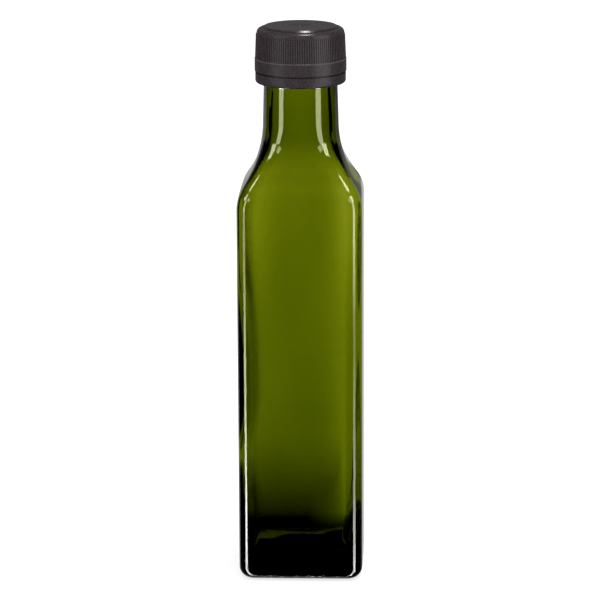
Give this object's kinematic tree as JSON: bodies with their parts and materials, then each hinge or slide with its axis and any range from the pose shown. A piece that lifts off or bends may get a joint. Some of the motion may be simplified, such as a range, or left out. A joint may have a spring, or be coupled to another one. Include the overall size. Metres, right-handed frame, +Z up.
{
  "type": "square glass bottle",
  "caption": "Empty square bottle of dark olive green glass for oil, with rounded shoulders, a round neck and a black ribbed screw cap over its tamper ring.",
  "frame": {"origin": "centre of the base, on the surface that the bottle stands on", "axes": "+Z up along the bottle's axis; +X and +Y square to the flat sides"},
  "size_m": [0.0478, 0.0478, 0.2128],
  "materials": {
    "green_glass": "clear, dark olive green all through",
    "black_plastic": "satin, moulded"
  },
  "bodies": {
    "root": {"bottle": "green_glass", "screw_cap": "black_plastic", "tamper_ring": "black_plastic"}
  },
  "joints": []
}
